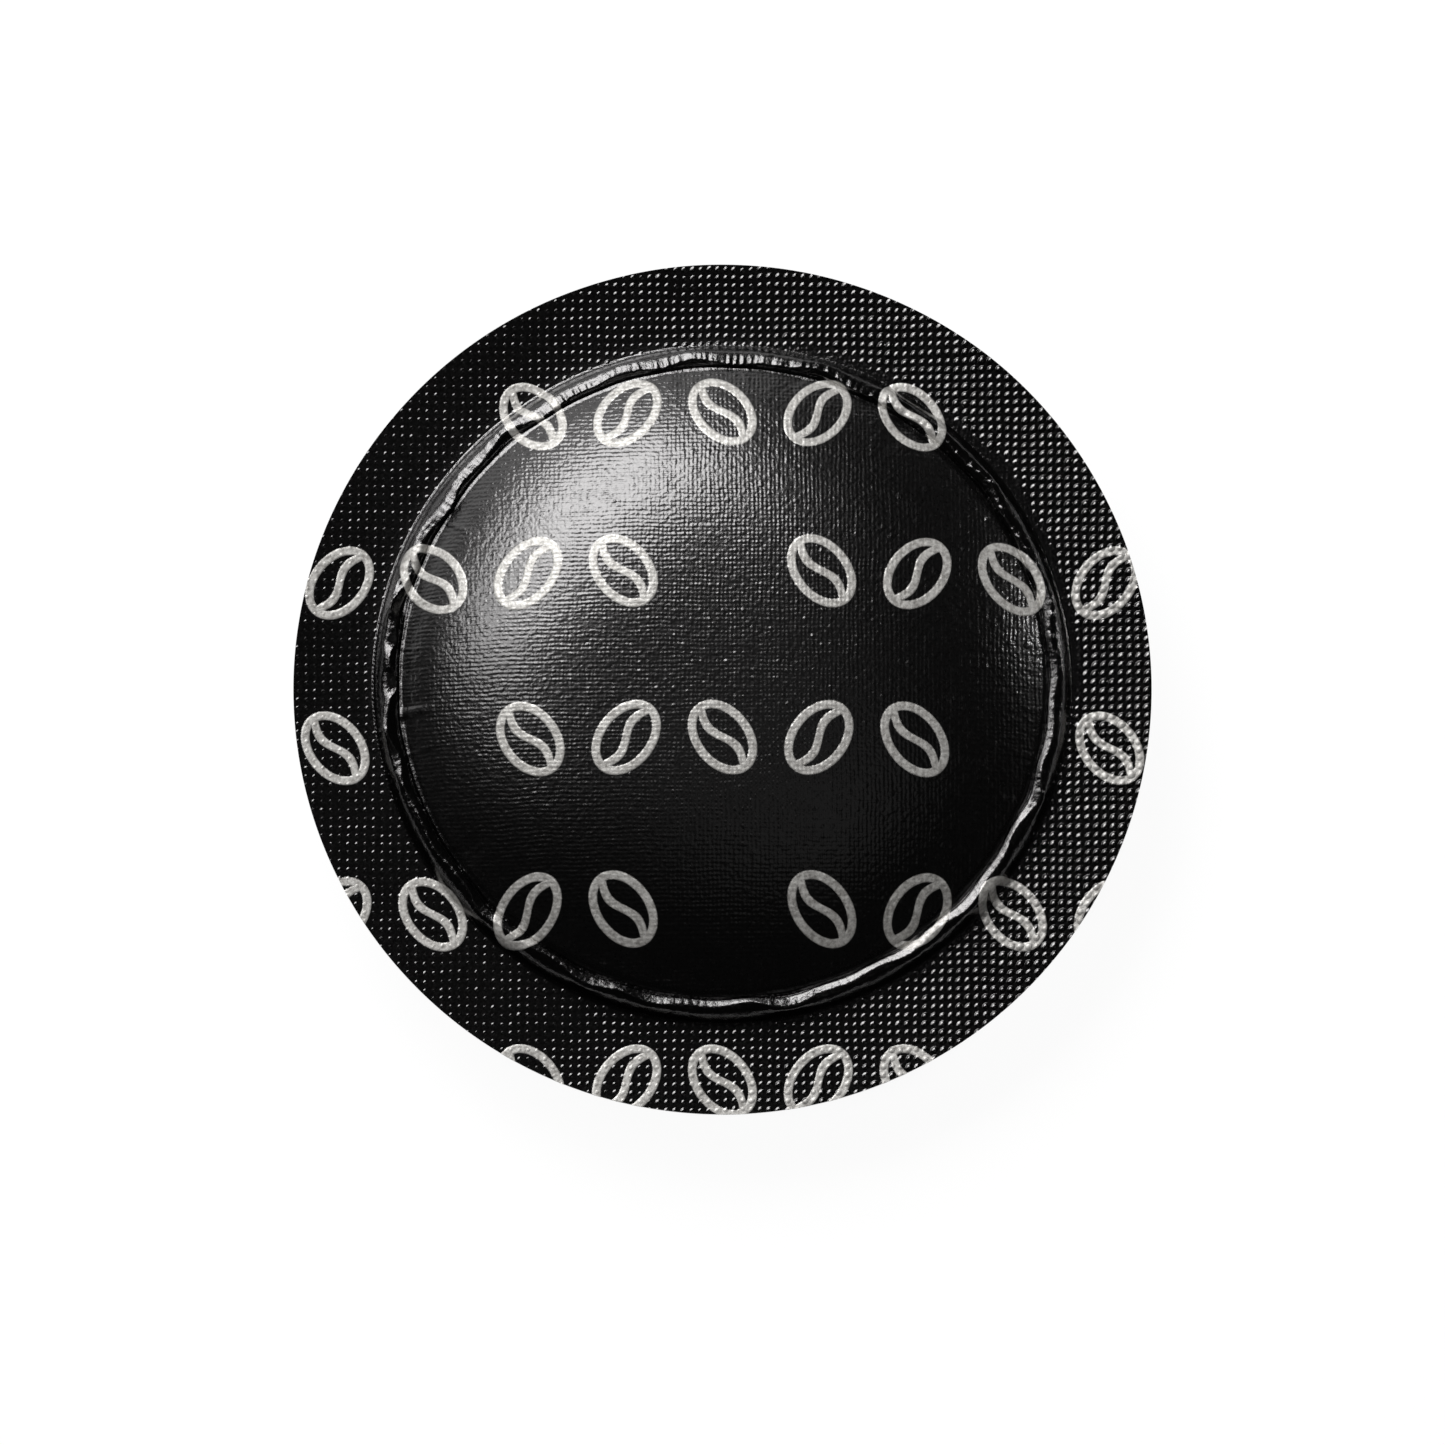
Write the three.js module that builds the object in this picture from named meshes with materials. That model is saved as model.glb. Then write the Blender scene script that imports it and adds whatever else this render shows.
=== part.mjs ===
// A single-serve coffee pod: pressed ground coffee sealed between two round sheets of
// embossed foil laminate. The sheets are welded face to face in a flat rim, and each is
// drawn over the coffee as a low wall, a gathered bead, a groove and a crown.
// Millimetres, +Z up. The origin is where the rim's axis meets the surface that the pod
// rests on. -Y is the front and +Y the back.
import * as THREE from 'three';

// The rim, where the two sheets are welded.
const rimDiameter = 55;
const rimThickness = 0.3;

// The coffee chamber. Its outline is where the walls leave the rim, and it is drawn
// a little out of round and off the rim's centre.
const chamberWidth = 44.7;
const chamberDepth = 43.9;
const chamberShift = 0.25;

// The wall and the bead at its top, on either side of the rim.
const wallRise = 1.3;
const wallLean = 0.4;
const footFillet = 0.3;
const beadWidth = 0.45;
const grooveWidth = 0.65;
const grooveDepth = 0.3;

// The crowns over the coffee, measured from the bottom of the groove. A higher fullness
// gives a flatter middle and a steeper shoulder.
const upperCrownRise = 4.6;
const lowerCrownRise = 4.2;
const crownFullness = 3;
const restFlatDiameter = 12;

// The sheets' spare edge is taken up in gathers, which push the bead in and out.
const gatherDepth = 0.36;
const gatherReach = 0.9;
const gatherCounts = [31, 19, 12];
const gatherTurns = [0.4, 2.1, 5.0];

// How finely the surface is divided.
const turnSegments = 132;
const footSteps = 3;
const beadSteps = 3;
const grooveSteps = 3;
const crownSteps = 9;

const rimRadius = rimDiameter / 2;
const chamberRadius = chamberWidth / 2;
const beadRadius = chamberRadius - wallLean - beadWidth;
const grooveRadius = beadRadius - grooveWidth;
const grooveHeight = wallRise - grooveDepth;
const rimMiddleHeight = rimThickness / 2 + grooveHeight + lowerCrownRise;

// Half a section through one face of the pod, from the rim's edge in to the axis:
// x is the distance from the axis and y the height above that face of the rim.
function faceSection(crownRise, flatRadius) {
  const foot = new THREE.Vector2(chamberRadius, 0);
  const shoulder = new THREE.Vector2(chamberRadius - wallLean, wallRise);
  const bead = new THREE.Vector2(beadRadius, wallRise);
  const groove = new THREE.Vector2(grooveRadius, grooveHeight);
  const wallLength = foot.distanceTo(shoulder);
  const fillet = Math.min(footFillet, wallLength / 2);
  const round = Math.min(beadWidth, wallLength / 2);
  const wallStart = foot.clone().lerp(shoulder, fillet / wallLength);
  const wallEnd = shoulder.clone().lerp(foot, round / wallLength);

  const footCurve = new THREE.QuadraticBezierCurve(
    new THREE.Vector2(chamberRadius + fillet, 0), foot, wallStart);
  const beadCurve = new THREE.QuadraticBezierCurve(wallEnd, shoulder, bead);
  const grooveCurve = new THREE.CubicBezierCurve(
    bead,
    new THREE.Vector2(beadRadius - grooveWidth / 2, wallRise),
    new THREE.Vector2(grooveRadius + grooveWidth / 4, grooveHeight),
    groove);

  const crown = [];
  for (let i = 1; i < crownSteps; i++) {
    const share = i / crownSteps;
    const radius = THREE.MathUtils.lerp(grooveRadius, flatRadius, share);
    const height = grooveHeight + crownRise * (1 - (1 - share) ** crownFullness);
    crown.push(new THREE.Vector2(radius, height));
  }
  if (flatRadius > 0) crown.push(new THREE.Vector2(flatRadius, grooveHeight + crownRise));
  crown.push(new THREE.Vector2(0, grooveHeight + crownRise));

  return [
    new THREE.Vector2(rimRadius, 0),
    ...footCurve.getPoints(footSteps),
    ...beadCurve.getPoints(beadSteps),
    ...grooveCurve.getPoints(grooveSteps).slice(1),
    ...crown,
  ];
}

// How far the gathers push the bead outwards at an angle round the pod, from -1 to 1.
function gather(angle) {
  const waves = gatherCounts.map((count, i) => Math.sin(count * angle + gatherTurns[i]));
  return waves.reduce((sum, wave) => sum + wave, 0) / waves.length;
}

// A smooth fall from 1 to 0 as the distance goes from 0 to the reach.
function fade(distance, reach) {
  return 1 - THREE.MathUtils.smoothstep(Math.abs(distance), 0, reach);
}

// Turns the section round the axis, then draws the round outline to the chamber's own:
// narrower front to back, shifted, and gathered along the bead.
function podGeometry() {
  const lower = faceSection(lowerCrownRise, restFlatDiameter / 2)
    .map((p) => new THREE.Vector2(p.x, rimMiddleHeight - rimThickness / 2 - p.y));
  const upper = faceSection(upperCrownRise, 0)
    .map((p) => new THREE.Vector2(p.x, rimMiddleHeight + rimThickness / 2 + p.y));
  const geometry = new THREE.LatheGeometry([...lower.reverse(), ...upper], turnSegments);
  geometry.rotateX(Math.PI / 2);

  const narrowing = 1 - chamberDepth / chamberWidth;
  const position = geometry.attributes.position;
  for (let i = 0; i < position.count; i++) {
    const x = position.getX(i);
    const y = position.getY(i);
    const radius = Math.hypot(x, y);
    const inChamber = 1 - THREE.MathUtils.smoothstep(radius, chamberRadius, rimRadius);
    const push = gatherDepth * gather(Math.atan2(y, x)) * fade(radius - beadRadius, gatherReach);
    const stretch = radius > 0 ? 1 + push / radius : 1;
    position.setX(i, x * stretch);
    position.setY(i, (y * (1 - narrowing * inChamber) + chamberShift * inChamber) * stretch);
  }
  geometry.computeVertexNormals();
  return geometry;
}

const lacqueredFoil = new THREE.MeshStandardMaterial({
  color: '#131314',
  roughness: 0.38,
  metalness: 0.2,
});

const pod = new THREE.Mesh(podGeometry(), lacqueredFoil);
pod.name = 'coffee_pod';

const group = new THREE.Group();
group.add(pod);

export default group;
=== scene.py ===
# %% [markdown]
# # A single-serve coffee pod
# The pod is a puck of pressed coffee between two round sheets of embossed aluminium foil,
# lacquered black and printed with small silver motifs. The sheets are welded face to face
# in a flat rim, and each is drawn over the coffee: a low wall stands up from the rim, its
# top is a gathered bead, and inside the bead a crease leads on to a low crown.
#
# The CAD frame holds the pod as one solid. Here each sheet becomes a piece of its own, with
# the gathers, puckers and dents that thin foil has, and materials with the embossing.

# %% Load the CAD frame
import math

import bmesh
import bpy
from mathutils import Matrix, Vector, noise
from mathutils.geometry import interpolate_bezier


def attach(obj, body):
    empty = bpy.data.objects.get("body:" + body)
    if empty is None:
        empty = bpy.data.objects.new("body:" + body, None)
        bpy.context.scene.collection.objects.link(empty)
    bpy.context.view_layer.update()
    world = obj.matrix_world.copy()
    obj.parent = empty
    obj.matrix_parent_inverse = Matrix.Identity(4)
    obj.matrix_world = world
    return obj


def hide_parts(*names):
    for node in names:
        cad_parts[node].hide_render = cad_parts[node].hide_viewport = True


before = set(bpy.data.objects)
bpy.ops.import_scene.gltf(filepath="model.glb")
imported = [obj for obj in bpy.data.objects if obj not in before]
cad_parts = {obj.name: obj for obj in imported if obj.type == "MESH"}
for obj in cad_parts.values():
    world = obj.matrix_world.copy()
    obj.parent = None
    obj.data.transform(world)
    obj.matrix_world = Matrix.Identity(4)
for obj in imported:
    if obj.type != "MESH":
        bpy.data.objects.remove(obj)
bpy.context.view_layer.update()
scene = bpy.context.scene

# %% [markdown]
# ## Real sizes
# All lengths in this part of the script are millimetres, as on a drawing, and become metres
# when a mesh is finished. Heights are measured from the weld, the plane where the two
# sheets meet, so that both sheets can share one section.

# %% Sizes of the pod
MM = 0.001
RIM_RADIUS = 27.5
SHEET = 0.15
WELD_HEIGHT = 5.35
FOOT_RADIUS = 22.35
BEAD_RADIUS = 21.4
BEAD_HEIGHT = SHEET + 1.3
CREASE_RADIUS = 20.85
CREASE_HEIGHT = SHEET + 1.0
UPPER_CROWN = 4.6
LOWER_CROWN = 4.2
CROWN_FULLNESS = 3.0
REST_RADIUS = 6.0
CHAMBER_SQUASH = 43.9 / 44.7
CHAMBER_SHIFT = 0.25
print("Rim:", 2 * RIM_RADIUS, "mm across, welded", WELD_HEIGHT, "mm above the table")

# %% [markdown]
# ## The section of one sheet
# Turned round its axis, half a section gives the whole sheet. The outer face runs from the
# axis over the crown, down through the crease, over the bead and along the rim. The inner
# face comes back under it with fewer points, since nobody sees it. Bezier curves make the
# small radii, because foil drawn over a die has no sharp corners. A narrow lip along the
# crease is what catches the light as a thin line round the crown.

# %% Draw the half section
CROWN_RINGS = 18
LIP_RISE = 0.07
LIP_RADIUS = CREASE_RADIUS - 0.14
LIP_WIDTH = 0.08
CROWN_FOOT = (CREASE_RADIUS, CREASE_HEIGHT)
CREASE = (CREASE_RADIUS + 0.04, CREASE_HEIGHT - 0.06)
FACET = (CREASE_RADIUS + 0.12, BEAD_HEIGHT - 0.16)
CREST = (BEAD_RADIUS, BEAD_HEIGHT)
SHOULDER = (21.7, BEAD_HEIGHT - 0.12)
WALL_FOOT = (22.28, 0.36)
RIM_START = (22.5, SHEET)
RIM_RINGS = 6


def crown_height(radius, rise, flat_radius):
    """Height of the crown above the crease, level inside the flat radius."""
    outward = max(0.0, radius - flat_radius) / (CREASE_RADIUS - flat_radius)
    return rise * (1 - outward**CROWN_FULLNESS)


def beside(point, outward, upward):
    """The place that far outward and upward from a point of the section."""
    return point[0] + outward, point[1] + upward


def bend(start, start_handle, end_handle, end, steps):
    """Points along a Bezier curve, without the first one."""
    corners = [Vector((x, 0, z)) for x, z in (start, start_handle, end_handle, end)]
    return [(p.x, p.z) for p in interpolate_bezier(*corners, steps + 1)][1:]


def outer_section(rise, flat_radius):
    """The outer face from the axis to the rim's edge."""
    points = []
    for i in range(CROWN_RINGS + 1):
        share = math.sin(math.pi / 2 * i / CROWN_RINGS)
        radius = (LIP_RADIUS - 2 * LIP_WIDTH) * share
        points.append((radius, CREASE_HEIGHT + crown_height(radius, rise, flat_radius)))
    for widths in (-0.5, 0.0, 0.5, 1.0):
        radius = LIP_RADIUS + widths * LIP_WIDTH
        lip = LIP_RISE * math.exp(-(((radius - LIP_RADIUS) / LIP_WIDTH) ** 2))
        height = CREASE_HEIGHT + crown_height(radius, rise, flat_radius)
        points.append((radius, height + lip))

    # Each bend goes on from the last one: its two handles, its end and its steps.
    bends = (
        (beside(CROWN_FOOT, 0, -0.04), beside(CROWN_FOOT, 0.02, -0.05), CREASE, 2),
        (beside(CREASE, 0.04, 0.08), beside(FACET, -0.04, -0.03), FACET, 3),
        (beside(FACET, 0.14, 0.06), beside(CREST, -0.1, -0.012), CREST, 6),
        (beside(CREST, 0.08, 0), beside(SHOULDER, -0.12, 0.05), SHOULDER, 6),
        (beside(SHOULDER, 0.22, -0.13), (22.15, 0.8), WALL_FOOT, 7),
        ((22.31, SHEET + 0.05), (22.36, SHEET), RIM_START, 4),
    )
    start = points[-1]
    for start_handle, end_handle, end, steps in bends:
        points += bend(start, start_handle, end_handle, end, steps)
        start = end
    rim_width = RIM_RADIUS - RIM_START[0]
    points += [beside(RIM_START, rim_width * i / RIM_RINGS, 0) for i in range(1, RIM_RINGS + 1)]
    return points


def inner_section(rise, flat_radius):
    """The inner face from the rim's edge back to the axis, a sheet's thickness inside."""
    points = [
        (RIM_RADIUS, 0), (25, 0), (22.25, 0), (22.08, 0.36),
        (21.85, 0.95), (21.5, 1.18), (21.15, 1.2), (20.9, 0.95),
    ]
    for radius in (20, 17, 13, 8, 0):
        height = CREASE_HEIGHT + crown_height(radius, rise, flat_radius) - SHEET
        points.append((radius, height))
    return points


sections = outer_section(UPPER_CROWN, 0.0), inner_section(UPPER_CROWN, 0.0)
print("Half section:", len(sections[0]), "points outside and", len(sections[1]), "inside")

# %% [markdown]
# ## Creases, gathers and dents
# A flat disc has too much edge for the narrower bead, so the foil takes up the spare length
# in gathers: long ones that push the bead in and out, and fine puckers across it. Waves of
# several counts that share no rhythm look as uneven as the real ones. The long gathers are
# those of the CAD solid. Noise with a fixed pattern dents the crown where the coffee
# underneath is uneven, and lets the rim wave a little.
#
# The bead isn't the same all the way round. At the back it leans in and its puckers are
# deep, at the left it is crumpled and sunk into a hollow, and at the right the puckers are
# as close as stitches. Angles are measured from the right and grow towards the back.

# %% Sizes of the creases
GATHERS = ((31, 0.4), (19, 2.1), (12, 5.0))
GATHER_DEPTH = 0.36
# Each kink has its angle, half its width as an angle, and its depth.
KINKS = (
    (math.radians(221), 0.035, 0.3),
    (math.radians(-17), 0.05, 0.22),
    (math.radians(148), 0.06, 0.3),
)
BACK_LEAN = 0.28
PUCKER_SPACING = 0.24
WIDE_PUCKER_SPACING = 1.1
PUCKER_DEPTH = 0.065
CRUMPLE_SPACING = 1.9
FINE_CRUMPLE_SPACING = 0.7
CRUMPLE_SHARE = 5.0
STITCH_SPACING = 0.3
STITCH_DEPTH = 0.1
OUTWARD_SHARE = 1.2
DENT_SPACING = 9.0
DENT_DEPTH = 0.08
TUCK_SPACING = 2.2
TUCK_DEPTH = 0.14
HOLLOW_DEPTH = 0.34
PLEAT_SPACING = 0.55
PLEAT_DEPTH = 0.3
SWAY_SPACING = 2.6
SWAY_DEPTH = 0.12
RIM_DISH = 0.3
RIM_WAVE_SPACING = 7
RIM_WAVE_DEPTH = 0.1
RIM_WAVE_PATTERN = 40

# Stretches of the bead: the angle of the middle, and the reach to either side.
LEANING = (math.radians(105), math.radians(110))
PUCKERED = (math.radians(112), math.radians(85))
CRUMPLED = (math.radians(170), math.radians(44))
STITCHED = (math.radians(38), math.radians(62))
DRAWN_SMOOTH = (math.radians(38), math.radians(50))

# Bands round the pod: the radius of the middle, and the reach to either side.
GATHER_BAND = (BEAD_RADIUS, 0.9)
LEAN_BAND = (BEAD_RADIUS, 0.5)
PUCKER_BAND = (21.35, 0.62)
STITCH_BAND = (BEAD_RADIUS, 0.34)
TUCK_BAND = (20.0, 2.2)
HOLLOW_BAND = (20.4, 1.5)
PLEAT_BAND = (19.9, 1.3)
SWAY_BAND = (BEAD_RADIUS, 0.8)
DENT_END = (17.5, 20.6)
print("The bead has", GATHERS[0][0], "long gathers and", len(KINKS), "kinks")


# %% Move the points of a sheet
def smooth(value, low, high):
    """Rises smoothly from 0 at low to 1 at high."""
    share = min(1.0, max(0.0, (value - low) / (high - low)))
    return share * share * (3 - 2 * share)


def near(distance, reach):
    """Falls smoothly from 1 to 0 as the distance reaches the given reach."""
    return 1 - smooth(abs(distance), 0, reach)


def in_stretch(angle, middle, reach):
    """Falls smoothly from 1 in the middle of a stretch of the bead to 0 at its ends."""
    return near((angle - middle + math.pi) % (2 * math.pi) - math.pi, reach)


def in_band(radius, middle, reach):
    """Falls smoothly from 1 in the middle of a band round the pod to 0 at its borders."""
    return near(radius - middle, reach)


def gathers(radius, angle):
    """How far the gathers, the kinks and the lean at the back push a point outwards."""
    waves = sum(math.sin(count * angle + turn) for count, turn in GATHERS) / len(GATHERS)
    push = GATHER_DEPTH * waves
    for place, width, depth in KINKS:
        push -= depth * in_stretch(angle, place, 2 * width)
    push *= in_band(radius, *GATHER_BAND)
    return push - BACK_LEAN * in_stretch(angle, *LEANING) * in_band(radius, *LEAN_BAND)


def puckers(spot, around, radius, angle):
    """How high the puckers, the crumples and the stitches lift a point."""
    rise = noise.noise(around / PUCKER_SPACING) + 0.5 * noise.noise(around / WIDE_PUCKER_SPACING)
    rise *= 0.5 + 0.7 * in_stretch(angle, *PUCKERED)
    crumple = noise.noise(spot / CRUMPLE_SPACING) + 0.5 * noise.noise(spot / FINE_CRUMPLE_SPACING)
    rise += CRUMPLE_SHARE * crumple * in_stretch(angle, *CRUMPLED)
    rise *= PUCKER_DEPTH * in_band(radius, *PUCKER_BAND)
    stitch = noise.noise(around / STITCH_SPACING) * in_stretch(angle, *STITCHED)
    return rise + STITCH_DEPTH * stitch * in_band(radius, *STITCH_BAND)


def dents(spot, around, radius, angle, side):
    """How high the uneven coffee, the tucks, the hollow and the pleats lift a point."""
    rise = noise.noise(spot / DENT_SPACING) * DENT_DEPTH
    rise *= 1 - smooth(radius, *DENT_END)
    if side < 0:
        # What rests on the table can only be dented inwards.
        rise = min(rise, 0.0)
    tuck = max(0.0, noise.noise(around / TUCK_SPACING) - 0.15)
    rise -= TUCK_DEPTH * tuck * in_band(radius, *TUCK_BAND)
    hollow = in_stretch(angle, *CRUMPLED)
    rise -= HOLLOW_DEPTH * hollow * in_band(radius, *HOLLOW_BAND)
    pleat = max(0.0, noise.noise(around / PLEAT_SPACING) - 0.3)
    rise += PLEAT_DEPTH * pleat * (0.2 + hollow) * in_band(radius, *PLEAT_BAND)
    return rise + SWAY_DEPTH * noise.noise(around / SWAY_SPACING) * in_band(radius, *SWAY_BAND)


def move_point(point, pattern, side):
    """Where a point of the turned section goes on the real, uneven sheet.

    Side is 1 for the upper sheet and -1 for the lower one, and the pattern picks the noise.
    """
    radius = math.hypot(point.x, point.y)
    angle = 0.0 if radius < 1e-6 else math.atan2(point.y, point.x)
    inside = 1 - smooth(radius, FOOT_RADIUS, RIM_RADIUS)
    direction = Vector((math.cos(angle), math.sin(angle), 0))
    around = direction * BEAD_RADIUS + Vector((0, 0, pattern))
    spot = Vector((point.x, point.y, pattern))

    pucker = puckers(spot, around, radius, angle)
    push = gathers(radius, angle) + OUTWARD_SHARE * pucker
    stretch = 1 + push / max(radius, 1.0)
    squash = 1 - (1 - CHAMBER_SQUASH) * inside
    height = point.z
    if point.z > 2 * SHEET:
        height += dents(spot, around, radius, angle, side) + pucker

    # The welded rim bends as one, so its rise is turned over with the lower sheet.
    rim_share = max(0.0, radius - FOOT_RADIUS) / (RIM_RADIUS - FOOT_RADIUS)
    wave = noise.noise(Vector((point.x, point.y, RIM_WAVE_PATTERN)) / RIM_WAVE_SPACING)
    height += side * (RIM_DISH * rim_share**1.5 + RIM_WAVE_DEPTH * wave * rim_share)
    return Vector((
        point.x * stretch,
        (point.y * squash + CHAMBER_SHIFT * inside) * stretch,
        height,
    ))


left_crest = move_point(Vector((-BEAD_RADIUS, 0, BEAD_HEIGHT)), pattern=2.0, side=1)
print("The bead's crest at the left goes to", [round(length, 2) for length in left_crest])

# %% [markdown]
# ## Turning the section into a sheet
# `spin` copies the half section round the axis and joins the copies with faces. It slows
# down steeply with many steps, so it turns an eighth of the way here, and turned copies
# make the rest. Merging what lies double then closes the seams and the fan of points on
# the axis. The normals are recalculated while the shell is still simple, and the cut edge
# of the rim is marked sharp, so that the flat rim isn't shaded as if it were rounded.
#
# How crisp the embossing is gets stored on each vertex, for the material, and so does how
# satin the foil is. At the upper right the die has drawn a strip of the rim smooth as well.
#
# Each sheet also gets a UV map, which a baked texture can use. The outer face is rolled out
# to the flat disc that it was cut from, by its length along the section, and fills the
# square. The inner face, which nobody sees, is shrunk into a free corner.

# %% Spin and shape one sheet
SECTOR_STEPS = 165
DOUBLINGS = 3
SMOOTH_STRIP = 0.9
EMBOSSING_EDGE = 0.15
CROWN_CRISPNESS = 0.4
CROWN_EMBOSSING_END = (20.3, 20.65)
CROWN_SATIN_END = (20.2, 20.8)
OUTER_MAP = (0.5, 0.49)
INNER_MAP = (0.08, 0.07)


def crispness(radius, angle):
    """How deep the embossing is: 1 on the rim, 0 on the wall and bead, less on the crown."""
    start = FOOT_RADIUS + SMOOTH_STRIP * in_stretch(angle, *DRAWN_SMOOTH)
    rim = smooth(radius, start, start + EMBOSSING_EDGE)
    crown = CROWN_CRISPNESS * (1 - smooth(radius, *CROWN_EMBOSSING_END))
    return rim + crown


def roll_out(outer, inner):
    """Shares along the section: 0 at the outer middle, 1 at the edge, 2 at the inner middle."""
    shares = []
    for face_start, points in ((0.0, outer), (1.0, outer[-1:] + inner)):
        lengths = [0.0]
        for a, b in zip(points, points[1:]):
            lengths.append(lengths[-1] + math.dist(a, b))
        shares += [face_start + length / lengths[-1] for length in lengths]
    del shares[len(outer)]
    return shares


def map_flat(shell, roll):
    """Lays the outer face out over the unit square and the inner one in its corner."""
    flat = shell.loops.layers.uv.new("OFBake")
    for face in shell.faces:
        outside = max(vertex[roll] for vertex in face.verts) <= 1
        centre, reach = OUTER_MAP if outside else INNER_MAP
        for loop in face.loops:
            share = loop.vert[roll] if outside else 2 - loop.vert[roll]
            angle = math.atan2(loop.vert.co.y, loop.vert.co.x)
            u = centre + reach * share * math.cos(angle)
            v = centre + reach * share * math.sin(angle)
            loop[flat].uv = (u, v)


def spin_round(shell, section):
    """Turns a section once round the axis and closes the seams."""
    sector = 2 * math.pi / 2**DOUBLINGS
    bmesh.ops.spin(
        shell, geom=section, cent=(0, 0, 0), axis=(0, 0, 1), dvec=(0, 0, 0),
        angle=sector, steps=SECTOR_STEPS, use_merge=False, use_normal_flip=False, use_duplicate=False,
    )
    for doubling in range(DOUBLINGS):
        everything = shell.verts[:] + shell.edges[:] + shell.faces[:]
        copied = bmesh.ops.duplicate(shell, geom=everything)["geom"]
        copied_vertices = [element for element in copied if isinstance(element, bmesh.types.BMVert)]
        turn = Matrix.Rotation(sector * 2**doubling, 3, "Z")
        bmesh.ops.rotate(shell, cent=(0, 0, 0), matrix=turn, verts=copied_vertices)
    bmesh.ops.remove_doubles(shell, verts=shell.verts, dist=1e-4)
    bmesh.ops.recalc_face_normals(shell, faces=shell.faces)


def foil_sheet(name, rise, flat_radius, pattern, side):
    """One foil sheet as a closed thin shell, with its place in its mesh."""
    outer = outer_section(rise, flat_radius)
    inner = inner_section(rise, flat_radius)
    length = sum(math.dist(a, b) for a, b in zip(outer, outer[1:]))
    print(name, "is drawn from a flat disc of about", round(2 * length, 1), "mm")

    shell = bmesh.new()
    roll = shell.verts.layers.float.new("roll")
    vertices = [shell.verts.new((radius, 0, height)) for radius, height in outer + inner]
    for vertex, share in zip(vertices, roll_out(outer, inner)):
        vertex[roll] = share
    edges = [shell.edges.new(pair) for pair in zip(vertices, vertices[1:])]
    spin_round(shell, vertices + edges)
    for edge in shell.edges:
        if all(math.hypot(v.co.x, v.co.y) > RIM_RADIUS - 1e-3 for v in edge.verts):
            edge.smooth = False
    map_flat(shell, roll)

    emboss = shell.verts.layers.float.new("emboss")
    satin = shell.verts.layers.float.new("satin")
    for vertex in shell.verts:
        radius = math.hypot(vertex.co.x, vertex.co.y)
        vertex[emboss] = crispness(radius, math.atan2(vertex.co.y, vertex.co.x))
        vertex[satin] = 1 - smooth(radius, *CROWN_SATIN_END)
        vertex.co = move_point(vertex.co, pattern, side)
    if side < 0:
        bmesh.ops.scale(shell, vec=(1, 1, -1), verts=shell.verts)
        bmesh.ops.reverse_faces(shell, faces=shell.faces)
    bmesh.ops.translate(shell, vec=(0, 0, WELD_HEIGHT), verts=shell.verts)
    bmesh.ops.scale(shell, vec=(MM, MM, MM), verts=shell.verts)
    for face in shell.faces:
        face.smooth = True

    mesh = bpy.data.meshes.new(name)
    shell.to_mesh(mesh)
    volume = shell.calc_volume(signed=True) / MM**3
    open_edges = sum(1 for edge in shell.edges if not edge.is_manifold)
    shell.free()
    sheet = bpy.data.objects.new(name, mesh)
    scene.collection.objects.link(sheet)
    print(name, len(mesh.polygons), "faces,", open_edges, "open edges,", round(volume), "cubic mm")
    return sheet


upper_sheet = foil_sheet("upper_foil", UPPER_CROWN, 0.0, pattern=2.0, side=1)
lower_sheet = foil_sheet("lower_foil", LOWER_CROWN, REST_RADIUS, pattern=9.0, side=-1)

# %% [markdown]
# ## Materials
# One small function adds a node, sets it and links it. Colours are written as sRGB hex
# values, as a paint chart gives them, and another function turns them to the linear values
# that Blender works in.


# %% Helpers for nodes and colours
def linear(hex_colour):
    """An sRGB hex colour as linear RGBA."""
    channels = [int(hex_colour[i:i + 2], 16) / 255 for i in (1, 3, 5)]
    levels = [c / 12.92 if c <= 0.04045 else ((c + 0.055) / 1.055) ** 2.4 for c in channels]
    return (*levels, 1.0)


def add(tree, kind, inputs, **settings):
    """Adds a node of that kind and sets it.

    Inputs go by place in a list or by name in a dict, and each is a value, a socket or a
    node. None leaves an input as it is.
    """
    node = tree.nodes.new("ShaderNode" + kind)
    for name, value in settings.items():
        setattr(node, name, value)
    named = inputs.items() if isinstance(inputs, dict) else enumerate(inputs)
    for key, value in named:
        if isinstance(value, bpy.types.Node):
            value = value.outputs[0]
        if isinstance(value, bpy.types.NodeSocket):
            tree.links.new(value, node.inputs[key])
        elif value is not None:
            node.inputs[key].default_value = value
    return node


def new_material(name):
    """An empty node material and its tree."""
    material = bpy.data.materials.new(name)
    material.use_nodes = True
    material.node_tree.nodes.clear()
    return material, material.node_tree


print("Mid grey #808080 is", round(linear("#808080")[0], 3), "in linear light")

# %% [markdown]
# ## The silver print
# The foil is printed flat, in rows that are shifted by half a step from each other, before
# it is embossed and drawn. The motif is a coffee bean: an outlined oval with a curved slit,
# leaning left and right by turns, five to a group. It is worked out from the place on the
# sheet, so it stays sharp at any size. First the sheet is folded into one cell of the
# pattern, then the distance to the oval's line and to the slit gives the ink. The disc was
# cut so that its top strip is free of print.

# %% Ink mask of the bean rows
ROW_PITCH = 10.7
ROW_START = 6.7
GROUP_PITCH = 37.0
BEANS_TO_A_SIDE = 2.0
BEAN_PITCH = 6.1
BEAN_LENGTH = 2.35
BEAN_WIDTH = 1.6
BEAN_LEAN = math.radians(52)
SLIT_WAVE = 1.45
SLIT_SWING = 0.34
INK_LINE = 0.54
INK_EDGE = 0.05
INK_BEVEL = 0.16
PRINT_TOP = 24.0


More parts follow.
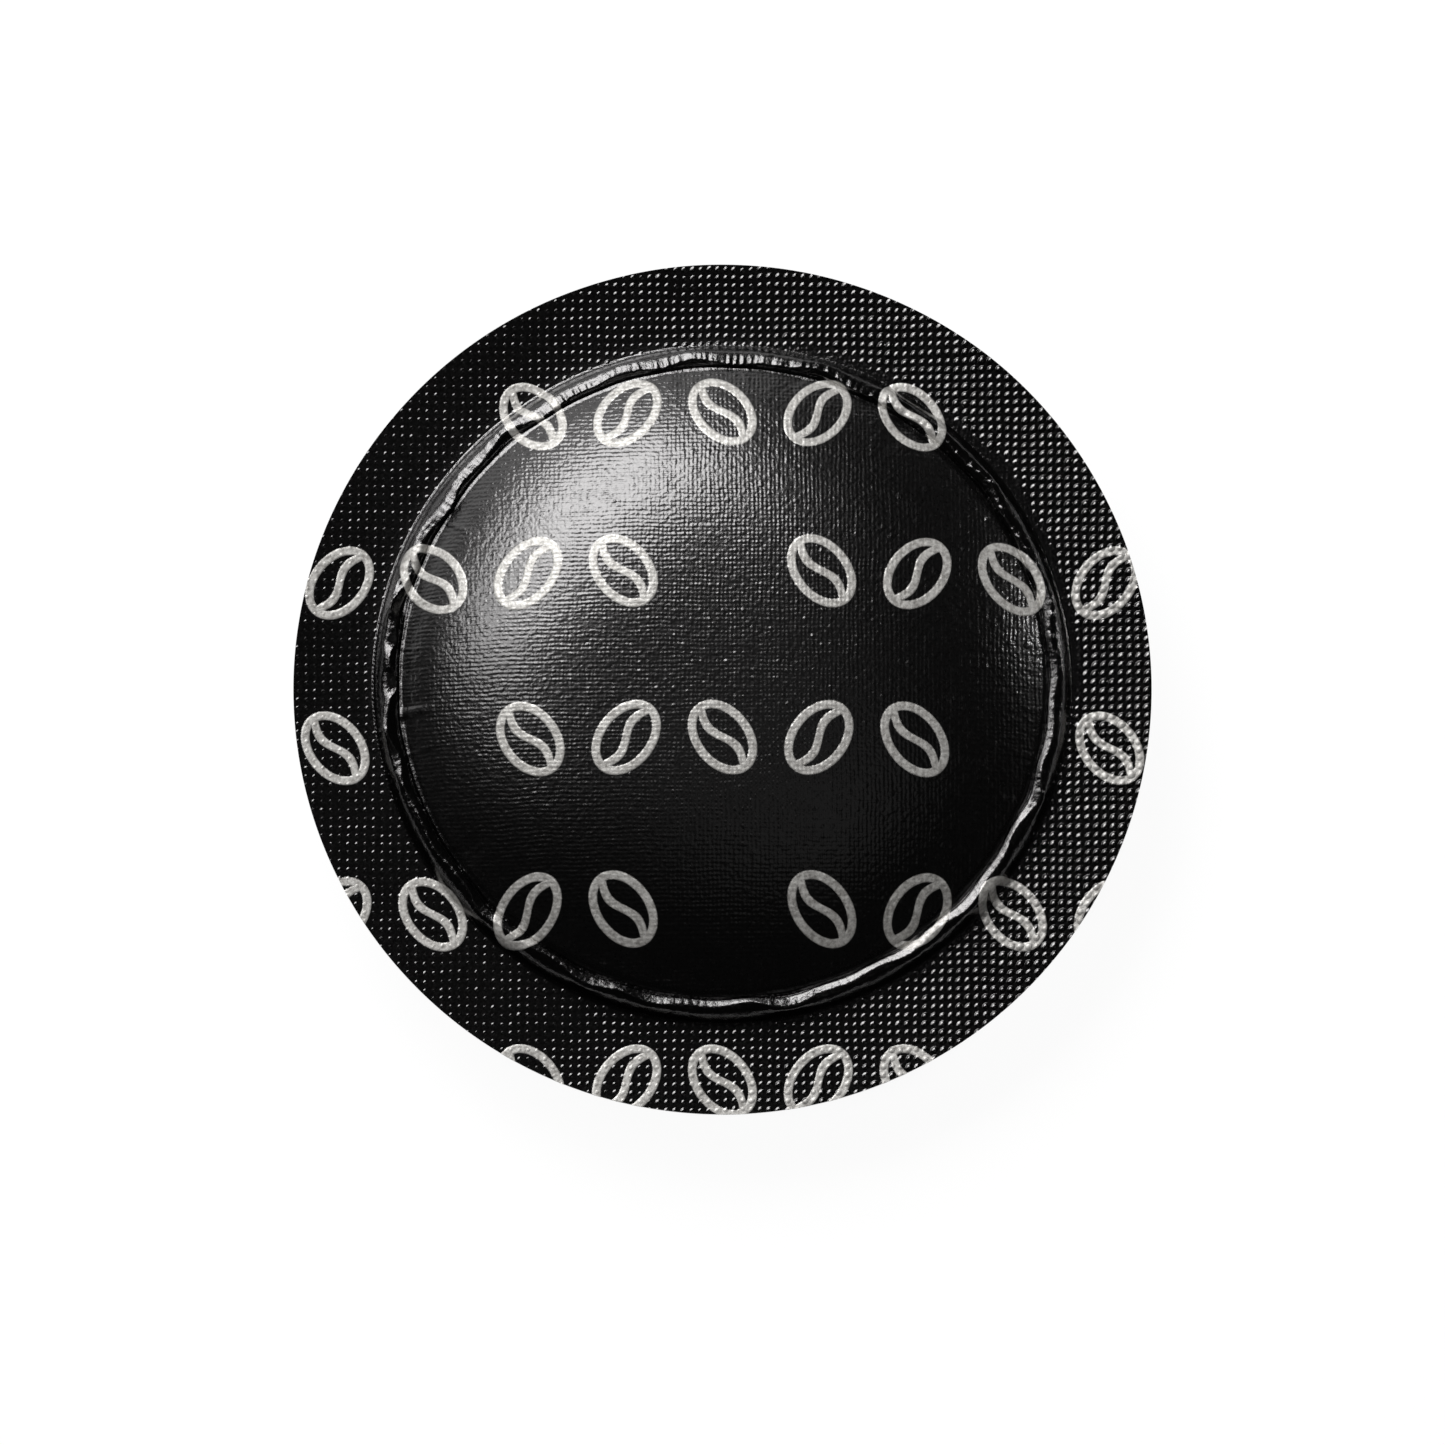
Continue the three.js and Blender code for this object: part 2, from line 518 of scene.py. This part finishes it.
def bean_cell(tree, x, y):
    """Folds the sheet into the cell of one bean, and gives the place along and across it."""
    from_row = add(tree, "Math", [y, ROW_START], operation="SUBTRACT")
    row_place = add(tree, "Math", [from_row, ROW_PITCH], operation="DIVIDE")
    row = add(tree, "Math", [row_place], operation="ROUND")
    off_row = add(tree, "Math", [row_place, row], operation="SUBTRACT")
    in_row = add(tree, "Math", [off_row, ROW_PITCH], operation="MULTIPLY")
    odd_row = add(tree, "Math", [row, 2.0], operation="FLOORED_MODULO")
    steps = add(tree, "Math", [odd_row, -1.0], operation="ADD")
    shift = add(tree, "Math", [steps, GROUP_PITCH / 2], operation="MULTIPLY")
    shifted = add(tree, "Math", [x, shift], operation="ADD")
    in_group = add(tree, "Math", [shifted, -GROUP_PITCH / 2, GROUP_PITCH / 2], operation="WRAP")

    bean_place = add(tree, "Math", [in_group, BEAN_PITCH], operation="DIVIDE")
    bean_place = add(tree, "Math", [bean_place], operation="ROUND")
    bean = add(tree, "Clamp", [bean_place, -BEANS_TO_A_SIDE, BEANS_TO_A_SIDE])
    bean_middle = add(tree, "Math", [bean, BEAN_PITCH], operation="MULTIPLY")
    along_row = add(tree, "Math", [in_group, bean_middle], operation="SUBTRACT")
    parity = add(tree, "Math", [bean, 2.0], operation="FLOORED_MODULO")
    lean = add(tree, "Math", [parity, -2 * BEAN_LEAN, BEAN_LEAN], operation="MULTIPLY_ADD")
    spot = add(tree, "CombineXYZ", [along_row, in_row, 0.0])
    turned = add(tree, "VectorRotate", {"Vector": spot, "Angle": lean}, rotation_type="Z_AXIS")
    split = add(tree, "SeparateXYZ", [turned])
    return split.outputs["X"], split.outputs["Y"]


def bean_print(tree, x, y):
    """The ink, 1 where it lies, and its bevelled height, from the place in millimetres."""
    long_way, cross_way = bean_cell(tree, x, y)

    # Dividing by the slope turns the oval's own measure into a distance in millimetres.
    u = add(tree, "Math", [long_way, BEAN_LENGTH], operation="DIVIDE")
    v = add(tree, "Math", [cross_way, BEAN_WIDTH], operation="DIVIDE")
    uv = add(tree, "CombineXYZ", [u, v, 0.0])
    size = add(tree, "VectorMath", [uv], operation="LENGTH").outputs["Value"]
    slopes = add(tree, "VectorMath", [uv, (1 / BEAN_LENGTH, 1 / BEAN_WIDTH, 0)], operation="MULTIPLY")
    slope = add(tree, "VectorMath", [slopes], operation="LENGTH").outputs["Value"]
    slope = add(tree, "Math", [slope, 0.01], operation="MAXIMUM")
    beyond = add(tree, "Math", [size, 1.0], operation="SUBTRACT")
    beyond = add(tree, "Math", [beyond, size], operation="MULTIPLY")
    beyond = add(tree, "Math", [beyond, slope], operation="DIVIDE")
    outline_gap = add(tree, "Math", [beyond], operation="ABSOLUTE")

    # The slit is a wave along the bean that ends at the outline.
    swing = add(tree, "Math", [long_way, SLIT_WAVE], operation="MULTIPLY")
    swing = add(tree, "Math", [swing], operation="SINE")
    swing = add(tree, "Math", [swing, SLIT_SWING], operation="MULTIPLY")
    slit_gap = add(tree, "Math", [cross_way, swing], operation="SUBTRACT")
    slit_gap = add(tree, "Math", [slit_gap], operation="ABSOLUTE")
    slit_end = add(tree, "Math", [size, 0.98], operation="SUBTRACT")
    slit_end = add(tree, "Math", [slit_end, 3.0], operation="MULTIPLY")
    slit_gap = add(tree, "Math", [slit_gap, slit_end], operation="MAXIMUM")

    gap = add(tree, "Math", [outline_gap, slit_gap], operation="MINIMUM")
    low, high = INK_LINE / 2 - INK_EDGE, INK_LINE / 2 + INK_EDGE
    top = high - INK_BEVEL
    ink = add(tree, "MapRange", [gap, low, high, 1.0, 0.0], interpolation_type="SMOOTHSTEP")
    ridge = add(tree, "MapRange", [gap, top, high, 1.0, 0.0], interpolation_type="SMOOTHSTEP")
    below_top = add(tree, "Math", [y, PRINT_TOP], operation="LESS_THAN")
    return [add(tree, "Math", [part, below_top], operation="MULTIPLY") for part in (ink, ridge)]


print("Rows of beans every", ROW_PITCH, "mm, groups every", GROUP_PITCH, "mm")

# %% [markdown]
# ## Black lacquered foil
# The real material is soft aluminium foil with a thin coloured lacquer, embossed between
# rollers with a square grid of dots so that it feeds well and doesn't stick. The metal
# under the dark lacquer gives a broad, satin reflection and the lacquer a sharper one on
# top, which is the shader's coat. On the rim the dots stand out as separate sparks, small
# at the left and growing towards the right. On the crown the drawing has pulled them down
# to a fine weave with a worm-like grain. The weave's ridges run sideways at the left and
# lengthways at the right. The drawn wall and bead are smooth, with streaks and fine
# puckers. The embossing is bump, because its eight thousand dots on each side are too fine
# for a mesh.

# %% Heights of the embossing
DOT_PITCH = 0.55
WEAVE_PITCH = DOT_PITCH / 2
CREEP = 0.35
SMALL_DOT_RADIUS = 0.12
LARGE_DOT_RADIUS = 0.245
DOT_CURVE = 0.36
DOT_BLEND = 0.02
DOT_SLANT = math.radians(45)
DOT_STRETCH = 1.1
BITE_PATCHES = 30.0
CROWN_DOT_SHARE = 0.08
CROWN_FLECK_SHARE = 0.2
CROWN_WEAVE_RISE = 0.0042
CROWN_GRAIN_RISE = 0.038
INK_RISE = 0.022
CRUMPLE_RISE = 0.018
BEAD_CRUMPLE_RISE = 0.06


def embossed_dots(tree, place, crept):
    """The height of the dots, and a chance number that each dot has."""
    flat = add(tree, "VectorMath", [crept, (1, 1, 0)], operation="MULTIPLY")
    cell = add(tree, "VectorMath", [flat, (DOT_PITCH,) * 3], operation="SNAP")
    chance = add(tree, "TexWhiteNoise", [cell], noise_dimensions="3D").outputs["Value"]
    second_chance = add(tree, "TexWhiteNoise", [cell], noise_dimensions="2D").outputs["Value"]
    in_cell = add(tree, "VectorMath", [flat, cell], operation="SUBTRACT")
    middle = (DOT_PITCH / 2, DOT_PITCH / 2, 0)
    folded = add(tree, "VectorMath", [in_cell, middle], operation="SUBTRACT")
    slanted = add(tree, "VectorRotate", {"Vector": folded, "Angle": -DOT_SLANT}, rotation_type="Z_AXIS")
    oval = add(tree, "VectorMath", [slanted, (1 / DOT_STRETCH, DOT_STRETCH, 0)], operation="MULTIPLY")
    from_dot = add(tree, "VectorMath", [oval], operation="LENGTH").outputs["Value"]

    # The rollers bite unevenly: towards the right the dots are large, towards the left small.
    rightward = add(tree, "VectorMath", [place, (0.95, 0.1, 0)], operation="DOT_PRODUCT")
    patches = add(tree, "TexNoise", {"Vector": place, "Scale": 0.3, "Detail": 3.0})
    patches = add(tree, "Math", [patches, -0.5], operation="ADD")
    rightward = rightward.outputs["Value"]
    rightward = add(tree, "Math", [patches, BITE_PATCHES, rightward], operation="MULTIPLY_ADD")
    bite = add(tree, "MapRange", [rightward, -14.0, 18.0, SMALL_DOT_RADIUS, LARGE_DOT_RADIUS])
    each = add(tree, "MapRange", [chance, 0.0, 1.0, 0.85, 1.12])
    dot_radius = add(tree, "Math", [bite, each], operation="MULTIPLY")

    # A dot is the cap of a shallow dome, blended into the foil round it.
    depths = []
    for length in (dot_radius, from_dot):
        square = add(tree, "Math", [length, 2.0], operation="POWER")
        depths.append(add(tree, "Math", [square, 0.5 / DOT_CURVE], operation="MULTIPLY"))
    cap = add(tree, "Math", depths, operation="SUBTRACT")
    dot = add(tree, "Math", [cap, 0.0, DOT_BLEND], operation="SMOOTH_MAX")
    steepness = add(tree, "MapRange", [second_chance, 0.0, 1.0, 0.75, 1.25])
    return add(tree, "Math", [dot, steepness], operation="MULTIPLY"), chance


def crown_weave(tree, place, crept, x):
    """The height of the crown's weave and its grain, where 1 is the weave's own rise."""
    turns = 2 * math.pi / WEAVE_PITCH
    phase = add(tree, "VectorMath", {"Vector": crept, "Scale": turns}, operation="SCALE")
    phases = add(tree, "SeparateXYZ", [phase])
    # The crown is stretched sideways at the left and lengthways at the right.
    across = add(tree, "MapRange", [x, -14.0, 8.0, 0.3, 1.0], interpolation_type="SMOOTHSTEP")
    along = add(tree, "MapRange", [x, -8.0, 14.0, 1.0, 0.4], interpolation_type="SMOOTHSTEP")
    waves = []
    for axis, share in (("X", across), ("Y", along)):
        wave = add(tree, "Math", [phases.outputs[axis]], operation="COSINE")
        waves.append(add(tree, "Math", [wave, share], operation="MULTIPLY"))
    weave = add(tree, "Math", waves, operation="ADD")
    patches = add(tree, "TexNoise", {"Vector": place, "Scale": 0.8, "Detail": 2.0})
    strength = add(tree, "MapRange", [patches, 0.35, 0.65, 0.6, 1.3])
    weave = add(tree, "Math", [weave, strength], operation="MULTIPLY")
    grain = add(tree, "TexNoise", {"Vector": place, "Scale": 3.2, "Detail": 1.5})
    grain_share = CROWN_GRAIN_RISE / CROWN_WEAVE_RISE
    return add(tree, "Math", [grain, grain_share, weave], operation="MULTIPLY_ADD")


def foil_height(tree, place, x, ridge, mottle):
    """The height of the embossing, the ink and the crumples together, in metres."""
    # The dots lie a little off a perfect grid, since foil creeps between the rollers.
    creep = add(tree, "TexNoise", {"Vector": place, "Scale": 0.35, "Detail": 2.0})
    creep = add(tree, "VectorMath", [creep.outputs["Color"], (0.5, 0.5, 0.5)], operation="SUBTRACT")
    creep = add(tree, "VectorMath", {"Vector": creep, "Scale": CREEP}, operation="SCALE")
    crept = add(tree, "VectorMath", [place, creep], operation="ADD")
    dot, chance = embossed_dots(tree, place, crept)
    weave = crown_weave(tree, place, crept, x)

    # On the crown most dots are pressed flat, and only a few stand up and catch the light.
    emboss = add(tree, "Attribute", [], attribute_name="emboss").outputs["Fac"]
    proud = add(tree, "Math", [chance, 8.0], operation="POWER")
    flecks = [proud, CROWN_FLECK_SHARE, CROWN_DOT_SHARE]
    crown_share = add(tree, "Math", flecks, operation="MULTIPLY_ADD")
    dot_share = add(tree, "MapRange", [emboss, CROWN_CRISPNESS, 1.0, crown_share, 1.0])
    weave_share = add(tree, "MapRange", [emboss, CROWN_CRISPNESS, 1.0, CROWN_WEAVE_RISE, 0.0])
    embossed = add(tree, "MapRange", [emboss, 0.0, CROWN_CRISPNESS, 0.0, 1.0])
    rises = []
    for form, share in ((dot, dot_share), (weave, weave_share)):
        rise = add(tree, "Math", [form, share], operation="MULTIPLY")
        rises.append(add(tree, "Math", [rise, embossed], operation="MULTIPLY"))
    height = add(tree, "Math", rises, operation="ADD")

    # Ink lies on top, thick enough to be felt, and has run a little into the embossing.
    ink_rise = add(tree, "MapRange", [mottle, 0.3, 0.7, 0.8 * INK_RISE, 1.2 * INK_RISE])
    height = add(tree, "Math", [ridge, ink_rise, height], operation="MULTIPLY_ADD")

    # Fine crumple of the foil, everywhere and most on the wall and the bead.
    crumple = add(tree, "TexNoise", {"Vector": place, "Scale": 2.2, "Detail": 4.0, "Roughness": 0.6})
    crumple_rise = add(tree, "MapRange", [emboss, 0.0, CROWN_CRISPNESS, BEAD_CRUMPLE_RISE, CRUMPLE_RISE])
    height = add(tree, "Math", [crumple, crumple_rise, height], operation="MULTIPLY_ADD")
    return add(tree, "Math", [height, MM], operation="MULTIPLY")


print("Dots every", DOT_PITCH, "mm, from", SMALL_DOT_RADIUS, "to", LARGE_DOT_RADIUS, "mm in radius")


# %% Nodes of the foil
def lacquered_foil():
    """The foil's material, with its embossing and its print."""
    material, tree = new_material("black_lacquered_embossed_foil")
    place = add(tree, "TexCoord", []).outputs["Object"]
    place = add(tree, "VectorMath", {"Vector": place, "Scale": 1 / MM}, operation="SCALE")
    split = add(tree, "SeparateXYZ", [place])
    ink, ridge = bean_print(tree, split.outputs["X"], split.outputs["Y"])
    mottle = add(tree, "TexNoise", {"Vector": place, "Scale": 3.4, "Detail": 4.0, "Roughness": 0.65})
    height = foil_height(tree, place, split.outputs["X"], ridge, mottle)
    bump = add(tree, "Bump", {"Strength": 1.0, "Distance": 1.0, "Height": height})

    wear = add(tree, "MapRange", [mottle, 0.36, 0.6, 0.0, 1.0])
    worn, fresh, lacquer = linear("#989591"), linear("#cfcdc9"), linear("#434242")
    ink_colour = add(tree, "Mix", {0: wear, 6: worn, 7: fresh}, data_type="RGBA").outputs[2]
    colour = add(tree, "Mix", {0: ink, 6: lacquer, 7: ink_colour}, data_type="RGBA").outputs[2]

    haze = add(tree, "TexNoise", {"Vector": place, "Scale": 6.0, "Detail": 2.0})
    smooth_roughness = add(tree, "MapRange", [haze, 0.3, 0.7, 0.17, 0.23])
    satin = add(tree, "Attribute", [], attribute_name="satin").outputs["Fac"]
    foil_roughness = add(tree, "Math", [satin, 0.1, smooth_roughness], operation="MULTIPLY_ADD")
    shader = add(tree, "BsdfPrincipled", {
        "Base Color": colour,
        "Roughness": add(tree, "Mix", [ink, None, foil_roughness, 0.5], data_type="FLOAT"),
        "Metallic": add(tree, "MapRange", [ink, 0.0, 1.0, 1.0, 0.42]),
        "Normal": bump,
        "Coat Weight": add(tree, "MapRange", [ink, 0.0, 1.0, 0.6, 0.15]),
        "Coat Roughness": 0.12,
        "Coat Normal": bump,
    })
    add(tree, "OutputMaterial", [shader])
    return material


foil_material = lacquered_foil()
for sheet in (upper_sheet, lower_sheet):
    sheet.data.materials.append(foil_material)
print("Foil nodes:", len(foil_material.node_tree.nodes))

# %% [markdown]
# ## Joining the frame
# Both sheets ride on the pod's one body. They stand for the CAD solid, which then isn't
# shown.

# %% Ride and replace
for sheet in (upper_sheet, lower_sheet):
    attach(sheet, "root")
    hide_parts("coffee_pod")
    print(sheet.name, "rides on the root")

# %% [markdown]
# ## Floor and background
# The pod lies on a white sweep. To the camera the floor glows white, and its lamp-lit paper
# takes the pod's own soft shadow. The glow carries a painted contact shadow as well:
# Ambient Occlusion tells how far the pod overhangs each spot and dims the glow beneath it,
# which grounds the pod in the side views. The studio above is dark, which is what makes
# black foil look black: only the sweep near the horizon and the lamps show in it.

# %% Build the floor
FLOOR_WIDTH = 3.0
CONTACT_REACH = 9.0
PAINTED_SHADOW_GLOW = 0.12
OPEN_GLOW = 0.95
floor_cells = bmesh.new()
bmesh.ops.create_grid(floor_cells, x_segments=1, y_segments=1, size=FLOOR_WIDTH / 2)
floor_mesh = bpy.data.meshes.new("floor")
floor_cells.to_mesh(floor_mesh)
floor_cells.free()
floor = bpy.data.objects.new("floor", floor_mesh)
scene.collection.objects.link(floor)

floor_material, tree = new_material("white_paper_sweep")
paper = add(tree, "BsdfDiffuse", {"Color": linear("#4c4c4c")})
ray = add(tree, "LightPath", []).outputs
seen = add(tree, "Math", [ray["Is Camera Ray"], ray["Is Glossy Ray"]], operation="MAXIMUM")
seen = add(tree, "Math", [seen, ray["Is Transmission Ray"]], operation="MAXIMUM")
# Ambient Occlusion dims the glow where the pod overhangs the floor. This is a painted contact shadow,
# from the covered glow under the pod to the open glow around it.
openness = add(tree, "AmbientOcclusion", {"Distance": CONTACT_REACH * MM}, samples=8).outputs["AO"]
glows = [PAINTED_SHADOW_GLOW, OPEN_GLOW]
glow_under_painted_shadow = add(tree, "MapRange", [openness, 0.0, 0.5, *glows], interpolation_type="SMOOTHSTEP")
strength = add(tree, "Math", [seen, glow_under_painted_shadow], operation="MULTIPLY")
glow = add(tree, "Emission", {"Color": linear("#ffffff"), "Strength": strength})
add(tree, "OutputMaterial", [add(tree, "AddShader", [paper, glow])])
floor_mesh.materials.append(floor_material)
print("Floor:", FLOOR_WIDTH, "m wide,", len(tree.nodes), "nodes")

# %% Build the world
BACK_LEFT = (-0.45, 0.89, 0)
HORIZON_GLOW = 1.2
SIDE_GLOW = 0.02
CEILING_GLOW = 0.01
ROOM_GLOW = 0.14
world = bpy.data.worlds.new("studio")
scene.world = world
world.use_nodes = True
tree = world.node_tree
tree.nodes.clear()
ray = add(tree, "LightPath", []).outputs
seen = add(tree, "Math", [ray["Is Camera Ray"], ray["Is Transmission Ray"]], operation="MAXIMUM")
direction = add(tree, "TexCoord", []).outputs["Generated"]
height = add(tree, "SeparateXYZ", [direction]).outputs["Z"]
towards = add(tree, "VectorMath", [direction, BACK_LEFT], operation="DOT_PRODUCT").outputs["Value"]
glows = [SIDE_GLOW, HORIZON_GLOW]
behind = add(tree, "MapRange", [towards, 0.6, 0.98, *glows], interpolation_type="SMOOTHSTEP")
glows = [behind, CEILING_GLOW]
sweep = add(tree, "MapRange", [height, 0.2, 0.42, *glows], interpolation_type="SMOOTHSTEP")
in_gloss = add(tree, "Mix", [ray["Is Glossy Ray"], None, ROOM_GLOW, sweep], data_type="FLOAT")
level = add(tree, "Mix", [seen, None, in_gloss, 1.0], data_type="FLOAT")
background = add(tree, "Background", {"Color": linear("#ffffff"), "Strength": level})
add(tree, "OutputWorld", [background])
print("World nodes:", len(tree.nodes))

# %% [markdown]
# ## Lamps
# A large softbox high at the back left gives the broad sheen on that side of the crown,
# and a weaker one beside it carries the sheen on round to the left. Each embossed dot
# shows the pair as one slanting spark. A dim lamp above the front keeps the silver readable
# on the dark side, and a small one low at the right draws a bright line along the bead
# there. All of them point at the pod.

# %% Place the lamps
POD_MIDDLE = Vector((0, 0, WELD_HEIGHT * MM))


def softbox(name, place, width, depth, watts):
    """A rectangular lamp at a place in metres, turned to the pod."""
    lamp = bpy.data.lights.new(name, "AREA")
    lamp.shape = "RECTANGLE"
    lamp.size = width
    lamp.size_y = depth
    lamp.energy = watts
    holder = bpy.data.objects.new(name, lamp)
    holder.location = place
    holder.rotation_euler = (POD_MIDDLE - Vector(place)).to_track_quat("-Z", "Y").to_euler()
    scene.collection.objects.link(holder)
    print(name, round((Vector(place) - POD_MIDDLE).length, 3), "m away,", watts, "W")


softbox("back_left_softbox", (-0.13, 0.29, 0.32), 0.23, 0.23, 1.75)
softbox("left_softbox", (-0.28, 0.16, 0.35), 0.18, 0.18, 0.55)
softbox("front_fill", (0.13, -0.12, 0.5), 0.25, 0.25, 0.025)
softbox("right_edge_light", (0.34, 0.11, 0.085), 0.025, 0.025, 0.09)

# %% [markdown]
# ## Camera
# The photograph looks down on the pod from eight degrees in front of the vertical, through
# a long lens. The frame is 92.6 mm wide at the rim, which lies a little above the middle
# of the picture.

# %% Set up the camera
VIEW_WIDTH = 92.63 * MM
DISTANCE = 0.45
ELEVATION = math.radians(82.2)
AIM = Vector((0.0, -2.3, WELD_HEIGHT)) * MM
lens = bpy.data.cameras.new("camera")
lens.sensor_width = 36.0
lens.lens = lens.sensor_width * DISTANCE / VIEW_WIDTH
lens.clip_start = 0.01
camera = bpy.data.objects.new("camera", lens)
back = Vector((0, -math.cos(ELEVATION), math.sin(ELEVATION)))
camera.location = AIM + DISTANCE * back
camera.rotation_euler = (-back).to_track_quat("-Z", "Y").to_euler()
scene.collection.objects.link(camera)
scene.camera = camera
scene.view_settings.view_transform = "Standard"
print("Lens:", round(lens.lens, 1), "mm")
